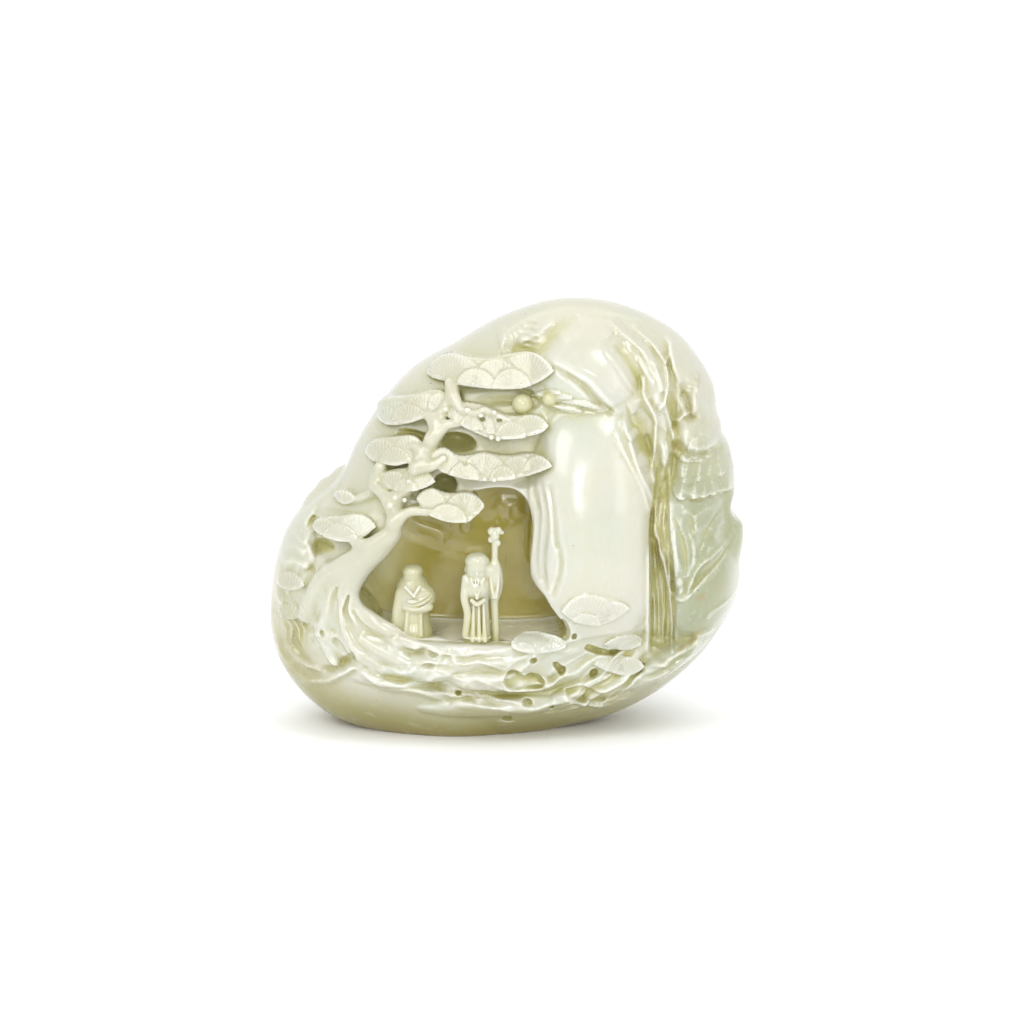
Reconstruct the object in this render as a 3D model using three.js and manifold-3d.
// A boulder carving cut from one pebble of pale nephrite: two scholars stand in a grotto under an old
// pine, beside a smooth pillar of rock and a waterfall. Everything is one solid, as in the real piece.
// Millimetres, +Z up, front face towards -Y, origin on the ground under the middle of the boulder.
import * as THREE from "three";
import { mergeVertices } from "three/addons/utils/BufferGeometryUtils.js";
import Module from "manifold-3d";

const wasm = await Module();
wasm.setup();

// The pebble. Its carving keeps its place as shares of these three sizes: "across" runs from -1 at the
// left edge to +1 at the right edge, and "up" from 0 on the ground to 1 at the top.
const WIDTH = 171;
const HEIGHT = 157;
const DEPTH = 74;
const CENTRE_UP = 0.467;
const FULLNESS = 2.3; // exponent of the pebble's cross-section: 2 is an ellipse, more is boxier
const TOP_THINNING = 0.3; // how much thinner the pebble is at its top than at its foot
const ROUND_ASPECT = 0.918; // height over width at which the outline's shares hold in every direction
// Reach of the outline from its centre, every 15 degrees from +X, as shares of half the width.
const OUTLINE = [
  0.96, 0.99, 1.01, 1.08, 1.055, 0.99, 0.89, 0.8, 0.772, 0.738, 0.722, 0.74,
  0.916, 1.031, 1.126, 1.122, 1.05, 1.008, 0.95, 0.911, 0.938, 0.972, 1.004, 1.02,
];

// The grotto
const GROTTO_DEPTH = 31; // from the boulder's front face to the back wall
const FLOOR_UP = 0.25; // height of the floor's front lip
const FLOOR_RISE = 1; // the floor climbs this much towards the back
const CORNER = 2; // rounding where the grotto's walls meet its back

// The pine
const TRUNK_FOOT = 6.6; // radius where it leaves the root
const TRUNK_TOP = 2.2;
const BRANCH = 1.9;
const ROOT = 3;
const PEARL = 3; // radius of the two round cones on the top branch
const FAN_WIDTH = 20; // a middling cluster of needles, across
const FAN_HEIGHT = 10;
const FAN_PROUD = 6; // how far it stands out from the rock
const FAN_THICKNESS = 5.2; // front to back
const FAN_SIDES = 10; // facets round a wide cluster; narrow ones have two fewer
const FLUTE = 0.22; // how deep the grooves between a cluster's needles are, as a share of its thickness
const LEAF = 5.4; // half width of one leaf of the broad-leaved tree

// The people
const ELDER = 30.5;
const FRIEND = 24.7;
const STAFF = 39.8;
const STAFF_RADIUS = 1.25;

// The rocks
const RELIEF = 5; // how far a middling rock stands proud of the face
const KEYED = 1.5; // how far the rim of a rock is sunk, so that it grows out of the face
const RIDGE = 2.4; // radius of a worn ridge
const RIDGE_END = 0.45; // how thin it is at its ends, as a share of its radius
const SWELL_SQUARENESS = 2.6; // exponent of a swell's outline: 2 is an ellipse, more is boxier
const SWELL_ROUNDING = 0.6; // exponent of a swell's section: 0.5 is a dome, 1 is a tent
const DRILL = 1.5; // radius of the carver's drill
const DRILL_DEPTH = 7;

// The waterfall
const RAVINE_WIDTH = 11;
const FALL_WIDTH = 8;
const FALL_STRANDS = 5;
const FALL_SUNK = 4.2; // how far its water lies behind the face
const STRAND_OVERLAP = 1.15; // width of one strand over the distance to the next

// Facets of the pebble: round it, and from its front to its back, where a bend under 1 draws the rings
// towards the front.
const PEBBLE_SIDES = 37;
const PEBBLE_RINGS = 16;
const RING_BEND = 0.85;

const radians = THREE.MathUtils.degToRad;
const mix = THREE.MathUtils.lerp;
const across = (share) => (share * WIDTH) / 2;
const up = (share) => share * HEIGHT;
const deep = (share) => share * DEPTH;

// Turns a closed geometry into a solid that can be joined and cut.
function solid(geometry) {
  const bare = geometry.clone();
  for (const name of Object.keys(bare.attributes).filter((key) => key !== "position")) {
    bare.deleteAttribute(name);
  }
  const merged = mergeVertices(bare, 1e-4);
  return new wasm.Manifold(
    new wasm.Mesh({
      numProp: 3,
      vertProperties: merged.attributes.position.array,
      triVerts: new Uint32Array(merged.index.array),
    }),
  );
}

// Turns the finished solid back into a geometry.
function geometryOf(made) {
  const mesh = made.getMesh();
  const geometry = new THREE.BufferGeometry();
  geometry.setAttribute("position", new THREE.BufferAttribute(new Float32Array(mesh.vertProperties), 3));
  geometry.setIndex(new THREE.BufferAttribute(new Uint32Array(mesh.triVerts), 1));
  geometry.computeVertexNormals();
  return geometry;
}

// Reach of the outline at an angle, on a smooth curve through the OUTLINE shares.
function reach(angle) {
  const count = OUTLINE.length;
  const step = (((angle / (2 * Math.PI)) * count) % count + count) % count;
  const first = Math.floor(step);
  const t = step - first;
  const [a, b, c, d] = [-1, 0, 1, 2].map((k) => OUTLINE[(first + k + count) % count]);
  const share = b + 0.5 * t * (c - a + t * (2 * a - 5 * b + 4 * c - d + t * (3 * (b - c) + d - a)));
  return (share * WIDTH) / 2;
}

// Heights follow HEIGHT and reaches follow WIDTH, so the outline is worked out in a round frame.
const TALLNESS = HEIGHT / WIDTH / ROUND_ASPECT;
const CENTRE = up(CENTRE_UP);
const halfDepth = (z) => (DEPTH / 2) * (1 + TOP_THINNING * (CENTRE_UP - z / HEIGHT));

// Forms that the carver left standing on the pebble, each with its place, half width, half height,
// thickness as a share of the depth, and its turn in degrees. Where two meet, the higher one shows.
const SWELLS = [
  [0.355, 0.485, 0.275, 0.31, 0.1, 0], // the smooth pillar
  [0.35, 0.868, 0.27, 0.13, 0.085, -16], // the dome above it
  [-0.42, 0.78, 0.34, 0.2, 0.03, -40], // the smooth wall above the pine
  [0.6, 0.83, 0.09, 0.14, 0.07, 28], // the spine beside the dome
  [0.6, 0.915, 0.18, 0.05, 0.07, -24], // the shoulder above it
  [0.745, 0.86, 0.07, 0.1, 0.09, 24], // the rim of the top right
  [0.835, 0.785, 0.085, 0.11, 0.1, 8], // the egg-shaped rock
  [0.79, 0.69, 0.12, 0.055, 0.09, 0], // the round rock under it
  [0.78, 0.47, 0.17, 0.14, 0.12, 12], // the curtain of rock under the leaves
  [0.84, 0.345, 0.17, 0.15, 0.1, -14], // the smooth flank below it
  [0.7, 0.17, 0.22, 0.055, 0.09, 32], // the bank at the foot of the fall
  [-0.5, 0.1, 0.5, 0.15, 0.07, -8], // the smooth boulder at the lower left
  [-0.12, 0.19, 0.56, 0.075, 0.1, 0], // the terrace in front of the grotto
  [0.2, 0.13, 0.5, 0.1, 0.07, 8], // the broken rock at the lower right
  [-0.88, 0.44, 0.09, 0.06, 0.08, 0], // the knob at the left rim
  [-0.86, 0.3, 0.12, 0.1, 0.05, 0],
];

// The highest swell at a place on the elevation, in millimetres. Each is a boxy dome.
function highest(x, z) {
  const heights = SWELLS.map(([u, v, halfU, halfV, thick, turn]) => {
    const place = new THREE.Vector2(x - across(u), z - up(v));
    place.rotateAround(new THREE.Vector2(), radians(-turn));
    const shareX = Math.abs(place.x / across(halfU)) ** SWELL_SQUARENESS;
    const shareZ = Math.abs(place.y / up(halfV)) ** SWELL_SQUARENESS;
    return deep(thick) * Math.max(0, 1 - shareX - shareZ) ** SWELL_ROUNDING;
  });
  return Math.max(0, ...heights);
}

// How far the pebble's cross-section is full at a place on its elevation: 1 in the middle, 0 at the rim.
function fullness(x, z) {
  const rise = (z - CENTRE) / TALLNESS;
  const share = Math.min(1, Math.hypot(x, rise) / reach(Math.atan2(rise, x)));
  return (1 - share ** FULLNESS) ** (1 / FULLNESS);
}

// The front surface before the carving that stands on it or is sunk into it, and the plain back.
const faceY = (x, z) => -fullness(x, z) * (halfDepth(z) + highest(x, z));
const backY = (x, z) => fullness(x, z) * halfDepth(z);

// A point on the front face, standing proud of it or, with a negative value, sunk into it.
function onFace(u, v, proud = 0) {
  const x = across(u);
  const z = up(v);
  return new THREE.Vector3(x, faceY(x, z) - proud, z);
}

// The pebble before carving: a sphere drawn out to the outline, as a superellipse front to back. Its
// rings lie closer on the front, where the carving is.
function pebble() {
  const geometry = new THREE.SphereGeometry(1, PEBBLE_SIDES, PEBBLE_RINGS);
  const place = geometry.attributes.position;
  for (let i = 0; i < place.count; i++) {
    const angle = Math.atan2(place.getZ(i), place.getX(i));
    const fromBack = Math.acos(THREE.MathUtils.clamp(place.getY(i), -1, 1)) / Math.PI;
    const polar = Math.PI * fromBack ** RING_BEND;
    const share = Math.sin(polar) ** (2 / FULLNESS);
    const x = share * reach(angle) * Math.cos(angle);
    const z = CENTRE + share * reach(angle) * Math.sin(angle) * TALLNESS;
    const inner = Math.abs(Math.cos(polar)) ** (2 / FULLNESS);
    const y = polar > Math.PI / 2 ? -inner * (halfDepth(z) + highest(x, z)) : inner * halfDepth(z);
    place.setXYZ(i, x, y, z);
  }
  return solid(geometry);
}

// A worn lump of rock: half sizes along x, y and z, turned about y.
function lump(centre, [halfX, halfY, halfZ], { turn = 0, sides = 8, rings = 4 } = {}) {
  const geometry = new THREE.SphereGeometry(1, sides, rings);
  geometry.rotateX(Math.PI / 2);
  geometry.scale(halfX, halfY, halfZ);
  geometry.rotateY(radians(-turn));
  geometry.translate(centre.x, centre.y, centre.z);
  return solid(geometry);
}

// A round limb: a closed cylinder bent along a smooth curve, with a radius for each of its points.
function limb(points, radii, { sides = 6, steps = points.length * 2 } = {}) {
  const curve = new THREE.CatmullRomCurve3(points, false, "centripetal");
  const frames = curve.computeFrenetFrames(steps, false);
  const geometry = new THREE.CylinderGeometry(1, 1, 1, sides, steps);
  const place = geometry.attributes.position;
  for (let i = 0; i < place.count; i++) {
    const step = Math.round((place.getY(i) + 0.5) * steps);
    const share = (step / steps) * (radii.length - 1);
    const first = Math.min(Math.floor(share), radii.length - 2);
    const radius = mix(radii[first], radii[first + 1], share - first);
    const point = curve.getPoint(step / steps);
    point.addScaledVector(frames.normals[step], place.getX(i) * radius);
    point.addScaledVector(frames.binormals[step], -place.getZ(i) * radius);
    place.setXYZ(i, ...point);
  }
  return solid(geometry);
}

// A ridge of rock that follows the front face, half sunk into it, and runs out thin at both ends. It
// stands proud by a share of its radius.
function ridge(route, radius, proud) {
  const points = route.map(([u, v]) => onFace(u, v, proud * radius));
  const last = points.length - 1;
  const radii = points.map((_, i) => (i === 0 || i === last ? radius * RIDGE_END : radius));
  return limb(points, radii, { sides: 4, steps: points.length });
}

// One cluster of pine needles: an umbrella seen from the side, with needles that spread as flutes from
// the stem at the middle of its lower edge, a shallow lower lip and a front that leans back. Width,
// height and how far it stands out are shares of a middling cluster's.
function fan([u, v, wide, tall, tilt, proud]) {
  const sides = wide < 0.8 ? FAN_SIDES - 2 : FAN_SIDES;
  const geometry = new THREE.SphereGeometry(1, sides, 3);
  const place = geometry.attributes.position;
  const height = tall * FAN_HEIGHT;
  const lip = 0.2 * height;
  for (let i = 0; i < place.count; i++) {
    const [a, b, c] = [place.getX(i), place.getY(i), place.getZ(i)];
    const side = Math.round((Math.atan2(c, a) / (2 * Math.PI)) * sides);
    const groove = side % 2 && Math.abs(b) < 0.99 ? 1 - FLUTE : 1.1;
    const z = c * (c > 0 ? height - lip : lip);
    place.setXYZ(i, (a * wide * FAN_WIDTH) / 2, b * groove * FAN_THICKNESS + 0.25 * z, z + lip);
  }
  geometry.rotateY(radians(-tilt));
  const stem = onFace(u, v, proud * FAN_PROUD - FAN_THICKNESS * 0.6);
  geometry.translate(stem.x, stem.y, stem.z);
  return solid(geometry);
}

// The grotto's opening, seen from the front, is a closed curve that follows the trunk on the left, the
// underside of the needles above and the edge of the rock pillar on the right.
const GROTTO_OUTLINE = [
  [-0.65, 0.36], [-0.61, 0.415], [-0.5, 0.46], [-0.435, 0.535], [-0.33, 0.56], [-0.2, 0.575],
  [-0.05, 0.592], [0.06, 0.582], [0.107, 0.52], [0.1, 0.4], [0.17, 0.345], [0.212, FLOOR_UP],
  [-0.43, FLOOR_UP], [-0.57, 0.3],
];

const grottoBack = () => -DEPTH / 2 + GROTTO_DEPTH;

function grotto() {
  const corners = [...GROTTO_OUTLINE, GROTTO_OUTLINE[0]].map(([u, v]) => new THREE.Vector2(across(u), up(v)));
  const shape = new THREE.Shape(new THREE.SplineCurve(corners).getPoints(26));
  const options = { bevelSize: CORNER, bevelOffset: -CORNER, bevelThickness: CORNER, bevelSegments: 2 };
  const geometry = new THREE.ExtrudeGeometry(shape, { depth: DEPTH, ...options });
  geometry.rotateX(Math.PI / 2);
  geometry.translate(0, grottoBack() - CORNER, 0);
  const place = geometry.attributes.position;
  for (let i = 0; i < place.count; i++) {
    const inward = Math.max(0, (place.getY(i) + DEPTH / 2) / GROTTO_DEPTH);
    place.setZ(i, place.getZ(i) + FLOOR_RISE * inward);
  }
  return solid(geometry);
}

// Deep shadows that the carver drilled out behind the needles, above the grotto, and hollows under the
// terrace, between the lower needles and at the left rim: across, up, half width, half depth and half
// height as shares, and turn.
const POCKETS = [
  [-0.2, 0.7, 0.075, 0.23, 0.022, -8],
  [-0.255, 0.596, 0.05, 0.2, 0.025, 0],
  [-0.19, 0.785, 0.03, 0.15, 0.02, 0],
  [-0.06, 0.785, 0.12, 0.1, 0.01, 0],
  [-0.4, 0.7, 0.105, 0.095, 0.0127, -10],
  [0.09, 0.15, 0.111, 0.081, 0.0166, 0],
  [0.376, 0.11, 0.117, 0.095, 0.018, 12],
  [-0.306, 0.162, 0.06, 0.061, 0.011, 0],
  [-0.756, 0.44, 0.05, 0.1, 0.02, 0],
];

const pocket = ([u, v, halfU, halfDeep, halfV, turn]) =>
  lump(onFace(u, v), [across(halfU), deep(halfDeep), up(halfV)], { turn, sides: 7 });

// The carver's drill holes.
const HOLES = [
  [0.225, 0.192], [0.359, 0.163], [0.081, 0.101], [-0.714, 0.219], [-0.651, 0.193],
];

function drilled([u, v]) {
  const middle = onFace(u, v, DRILL_DEPTH / 2);
  return lump(middle, [DRILL, DRILL_DEPTH, DRILL], { sides: 5, rings: 3 });
}

// Rocks in relief: across, up, half width and half height as shares, how far they stand proud of the
// face as a share of RELIEF, turn in degrees, and squareness of their outline.
const ROCKS = [
  [0.355, 0.485, 0.25, 0.285, 1.1, 0, 3], // the pillar
  [0.335, 0.872, 0.24, 0.1, 1, -18, 2.2], // the dome
  [0.6, 0.825, 0.05, 0.1, 0.5, 30, 2], // the spine beside the dome
  [0.735, 0.85, 0.05, 0.09, 0.6, 24, 2], // the rim of the top right
  [0.825, 0.785, 0.075, 0.1, 1, 6, 2], // the egg-shaped rock
  [0.79, 0.698, 0.11, 0.045, 1, 0, 2], // the round rock under it
  [0.775, 0.47, 0.16, 0.13, 1.2, 12, 2.4], // the curtain of rock under the leaves
  [0.84, 0.345, 0.14, 0.13, 1, -14, 2.2], // the smooth flank below it
  [0.7, 0.185, 0.19, 0.035, 0.9, 30, 2], // the bank at the foot of the fall
  [-0.43, 0.165, 0.24, 0.03, 0.7, 6, 2], // the wave-like rocks under the terrace
  [-0.02, 0.15, 0.24, 0.03, 0.8, -6, 2],
  [0.4, 0.125, 0.25, 0.035, 0.8, 14, 2],
  [-0.05, 0.085, 0.34, 0.03, 0.7, 2, 2],
];
const BACK_ROCKS = [
  [-0.2, 0.5, 0.38, 0.27, 1, 18, 2.6],
  [0.42, 0.5, 0.33, 0.35, 1.3, -6, 2.8],
  [0.02, 0.15, 0.72, 0.075, 1.1, -3, 2.4],
];

// Makes rocks on the front, where a smaller y is further out, or on the back.
function rocksOn(face, out) {
  return ([u, v, halfU, halfV, proud, turn, square]) => {
    const geometry = new THREE.SphereGeometry(1, halfV > 0.1 ? 13 : 8, 6);
    if (out > 0) geometry.rotateZ(Math.PI);
    const place = geometry.attributes.position;
    for (let i = 0; i < place.count; i++) {
      const [a, b, c] = [place.getX(i), place.getY(i), place.getZ(i)];
      const squared = (Math.abs(a) ** square + Math.abs(c) ** square) ** (1 / square);
      const boxy = Math.hypot(a, c) / (squared || 1);
      const flat = new THREE.Vector2(a * boxy * across(halfU), c * boxy * up(halfV));
      flat.rotateAround(new THREE.Vector2(), radians(turn)).add(new THREE.Vector2(across(u), up(v)));
      const rise = b * out > 0 ? proud * RELIEF + KEYED : 2 * KEYED;
      place.setXYZ(i, flat.x, face(flat.x, flat.y) + b * rise - out * KEYED, flat.y);
    }
    return solid(geometry);
  };
}

// Rocks and foliage at the edge, which make the steps in the outline: across, up, distance in front of
// the middle of the depth, and half width, half depth and half height, all as shares, and turn.
const EDGE = [
  [0.9, 0.47, 0.08, 0.094, 0.15, 0.096, 10],
  [-0.715, 0.562, -0.08, 0.064, 0.08, 0.035, 20],
  [-0.765, 0.522, -0.08, 0.053, 0.08, 0.032, 20],
];

function edge([u, v, forward, halfU, halfDeep, halfV, turn]) {
  const centre = new THREE.Vector3(across(u), -deep(forward), up(v));
  return lump(centre, [across(halfU), deep(halfDeep), up(halfV)], { turn, rings: 5 });
}

// Worn ridges between the rocks, at the upper right and down both sides of the pillar: how far each
// stands proud, as a share of its radius, and its route.
const RIDGES = [
  [0.2, [[0.46, 0.97], [0.6, 0.945], [0.675, 0.905], [0.7, 0.83]]],
  [0.6, [[0.17, 0.88], [0.3, 0.85], [0.4, 0.805], [0.49, 0.75]]],
  [0.4, [[0.49, 0.75], [0.56, 0.645], [0.61, 0.54], [0.59, 0.4], [0.585, 0.2]]],
  [0.6, [[0.57, 0.805], [0.62, 0.748], [0.615, 0.66], [0.635, 0.6]]],
  [0.4, [[0.12, 0.6], [0.145, 0.52], [0.135, 0.42], [0.2, 0.33]]],
];

// The ravine at the right of the pillar, and the waterfall in it as upright strands of water.
function ravine() {
  const route = [[0.66, 0.66], [0.645, 0.55], [0.65, 0.4], [0.655, 0.235]];
  const widths = [0.23, 0.36, 0.5, 0.41].map((share) => share * RAVINE_WIDTH);
  return limb(route.map(([u, v]) => onFace(u, v, 0.14 * RAVINE_WIDTH)), widths, { steps: 6 });
}

function waterfall() {
  const strands = [];
  for (let i = 0; i < FALL_STRANDS; i++) {
    const share = (i + 0.5) / FALL_STRANDS - 0.5;
    const shift = (share * FALL_WIDTH) / (WIDTH / 2);
    const route = [[0.635 + shift * 0.4, 0.52], [0.643 + shift * 0.7, 0.36], [0.652 + shift, 0.2]];
    const wide = (STRAND_OVERLAP * FALL_WIDTH) / FALL_STRANDS;
    const points = route.map(([u, v]) => onFace(u, v, -FALL_SUNK));
    strands.push(limb(points, [0.7 * wide, wide, wide], { steps: 2 }));
  }
  return strands;
}

// The trunk rises from the left foot, leans over the grotto and forks under the needles: across, up, how
// far its middle stands out from the rock as a share of its radius at the foot, and how far it has
// thinned there from foot to top.
const TRUNK = [
  [-0.775, 0.15, 0.15, 0], [-0.762, 0.223, 0.3, 0], [-0.727, 0.286, 0.35, 0.04],
  [-0.681, 0.349, 0.4, 0.16], [-0.609, 0.406, 0.45, 0.34], [-0.525, 0.446, 0.45, 0.45],
  [-0.46, 0.488, 0.45, 0.6], [-0.453, 0.535, 0.6, 0.85], [-0.495, 0.566, 0.6, 0.95],
  [-0.542, 0.592, 0.5, 0.97], [-0.52, 0.63, 0.45, 1],
];
const BRANCHES = [
  [[-0.453, 0.52], [-0.373, 0.54], [-0.25, 0.533]],
  [[-0.457, 0.551], [-0.348, 0.628], [-0.293, 0.692], [-0.251, 0.747], [-0.192, 0.786], [-0.192, 0.818]],
  [[-0.196, 0.786], [-0.104, 0.788], [0.006, 0.783], [0.098, 0.805]],
  [[-0.525, 0.45], [-0.609, 0.456], [-0.668, 0.465]],
  [[-0.744, 0.295], [-0.82, 0.305], [-0.87, 0.325]],
];
const ROOTS = [
  [[-0.744, 0.22], [-0.651, 0.185], [-0.512, 0.172], [-0.365, 0.171]],
  [[-0.702, 0.285], [-0.609, 0.239], [-0.483, 0.207], [-0.323, 0.196]],
  [[-0.676, 0.33], [-0.601, 0.288], [-0.512, 0.246], [-0.415, 0.223]],
];
const PEARLS = [
  [0.065, 0.78], [0.17, 0.791],
];

function pine() {
  const middles = TRUNK.map(([u, v, proud]) => onFace(u, v, proud * TRUNK_FOOT));
  const radii = TRUNK.map((row) => mix(TRUNK_FOOT, TRUNK_TOP, row[3]));
  const trunk = limb(middles, radii, { sides: 8, steps: TRUNK.length });
  const branches = BRANCHES.map((route) => {
    const points = route.map(([u, v]) => onFace(u, v, BRANCH * 1.6));
    return limb(points, route.map(() => BRANCH), { sides: 5, steps: route.length + 1 });
  });
  const roots = ROOTS.map((route) => ridge(route, ROOT, 0.67));
  const pearls = PEARLS.map(([u, v]) => lump(onFace(u, v, PEARL / 3), [PEARL, PEARL, PEARL], { sides: 6 }));
  return [trunk, ...branches, ...roots, ...pearls];
}

// Clusters of needles: across and up, width, height, tilt in degrees and how far they stand out.
const UPPER_NEEDLES = [
  [-0.196, 0.814, 1.01, 1.33, 0, 0.9], [0.098, 0.827, 1.04, 1.1, 0, 0.9],
  [-0.011, 0.808, 1.12, 0.99, 0, 1.2], [-0.432, 0.721, 1.08, 1.21, -9, 1],
  [-0.314, 0.744, 0.61, 0.88, -10, 0.9], [-0.18, 0.728, 0.75, 0.88, 0, 1.2],
  [-0.057, 0.711, 0.9, 1.1, 0, 1.2], [0.044, 0.703, 0.76, 0.59, 0, 1.5],
  [0.115, 0.708, 0.62, 0.74, 0, 1.2], [-0.466, 0.63, 1.04, 1.14, -11, 1.1],
  [-0.356, 0.649, 0.54, 0.88, -12, 0.9], [-0.205, 0.614, 0.97, 1.21, 0, 1.3],
  [-0.074, 0.611, 0.76, 0.99, 0, 1.2], [0.073, 0.615, 1.03, 0.85, 0, 1.4],
  [-0.42, 0.573, 1.12, 0.96, 0, 1.4], [-0.297, 0.543, 0.68, 0.77, 0, 1.3],
  [-0.213, 0.519, 0.86, 0.81, 0, 1.6], [-0.651, 0.527, 0.68, 0.7, 0, 0.8],
  [-0.71, 0.458, 0.94, 1.03, 6, 1], [-0.609, 0.475, 0.83, 0.88, 0, 1.2],
  [-0.887, 0.32, 0.65, 1.03, 0, 0.5], [-0.883, 0.255, 0.58, 0.88, 0, 0.5],
];
const LOWER_NEEDLES = [
  [0.347, 0.292, 1.3, 1.33, 0, 1.3], [0.469, 0.212, 0.97, 0.81, 0, 1],
  [0.124, 0.181, 1.12, 1.18, 0, 0.7], [0.431, 0.137, 1.12, 0.96, -6, 0.8],
  [0.284, 0.177, 0.7, 0.74, 0, 0.7],
];

// The broad-leaved tree at the right edge: two rows of three folded leaves.
const LEAF_ROWS = [
  { v: 0.635, from: 0.77, to: 0.88 },
  { v: 0.585, from: 0.74, to: 0.87 },
];

function leaves() {
  return LEAF_ROWS.flatMap(({ v, from, to }) =>
    [0, 1, 2].map((i) => {
      const turn = i % 2 ? 30 : -30;
      return lump(onFace(mix(from, to, i / 2), v), [LEAF, LEAF, LEAF * 0.8], { turn, sides: 5, rings: 3 });
    }),
  );
}

// A standing figure in a long robe, with its own height as the measure: the robe from hem to collar, the
// joined sleeves as one rounded mass in front of it, and the head.
function figure(feet, height, { girth, sleeves, hands, head }) {
  const at = (x, y, z) => new THREE.Vector3(x, y, z).multiplyScalar(height).add(feet);
  const own = (shares) => shares.map((share) => share * height);
  const spine = [0, 0.2, 0.45, 0.66, 0.79].map((z) => at(0, 0, z - 0.03));
  const widths = [1.1, 1, 0.92, 0.95, 0.5].map((share) => share * girth);
  const robe = limb(spine, own(widths), { sides: 8, steps: 4 });
  const arms = lump(at(0, -0.07, hands), own(sleeves), { rings: 6 });
  const skull = lump(at(0, -0.04, 1 - head[2]), own(head), { rings: 6 });
  return [robe, arms, skull];
}

function people() {
  const onFloor = (u, share) =>
    new THREE.Vector3(across(u), mix(-DEPTH / 2, grottoBack(), share), up(FLOOR_UP) + FLOOR_RISE * share);
  const friendFeet = onFloor(-0.39, 0.26);
  const elderFeet = onFloor(-0.137, 0.06);
  const friend = figure(friendFeet, FRIEND, {
    girth: 0.24,
    sleeves: [0.3, 0.21, 0.24],
    hands: 0.53,
    head: [0.145, 0.145, 0.165],
  });
  const elder = figure(elderFeet, ELDER, {
    girth: 0.15,
    sleeves: [0.175, 0.16, 0.17],
    hands: 0.56,
    head: [0.13, 0.125, 0.185],
  });
  const ofStaff = (x, y, z) => new THREE.Vector3(x, y, z).multiplyScalar(STAFF);
  const beside = (x, z) => ofStaff(x, -0.01, z).add(elderFeet);
  const pole = [beside(0.2, -0.025), beside(0.187, 0.6), beside(0.195, 0.97)];
  const staff = limb(pole, [STAFF_RADIUS, STAFF_RADIUS, STAFF_RADIUS * 1.4], { steps: 4 });
  const knot = lump(beside(0.19, 0.915), [...ofStaff(0.062, 0.05, 0.083)], { sides: 6 });
  const sleeve = lump(beside(0.19, 0.5), [...ofStaff(0.077, 0.07, 0.18)], { rings: 5 });
  return [...friend, ...elder, staff, knot, sleeve];
}

const join = (solids) => solids.reduce((whole, next) => whole.add(next));
const cut = (whole, solids) => solids.reduce((left, next) => left.subtract(next), whole);

function carve() {
  const rocks = [...ROCKS.map(rocksOn(faceY, -1)), ...BACK_ROCKS.map(rocksOn(backY, 1))];
  let stone = join([pebble(), ...rocks, ...EDGE.map(edge)]);
  stone = cut(stone, [ravine(), grotto(), ...POCKETS.map(pocket)]);
  const needles = [...UPPER_NEEDLES, ...LOWER_NEEDLES].map(fan);
  const ridges = RIDGES.map(([proud, route]) => ridge(route, RIDGE, proud));
  stone = join([stone, ...ridges, ...waterfall(), ...pine(), ...needles, ...leaves(), ...people()]);
  const ground = new THREE.BoxGeometry(2 * WIDTH, 2 * DEPTH, HEIGHT).translate(0, 0, -HEIGHT / 2);
  return cut(stone, [...HOLES.map(drilled), solid(ground)]);
}

// Moves the carving so that its box stands centred on the origin.
function centred(geometry) {
  geometry.computeBoundingBox();
  const { min, max } = geometry.boundingBox;
  return geometry.translate(-(min.x + max.x) / 2, -(min.y + max.y) / 2, -min.z);
}

const jade = new THREE.MeshStandardMaterial({ color: 0xdfe2c8, roughness: 0.22, metalness: 0 });
const boulder = new THREE.Mesh(centred(geometryOf(carve())), jade);
boulder.name = "jade_boulder";

const carving = new THREE.Group();
carving.name = "jade_boulder_carving";
carving.add(boulder);
export default carving;
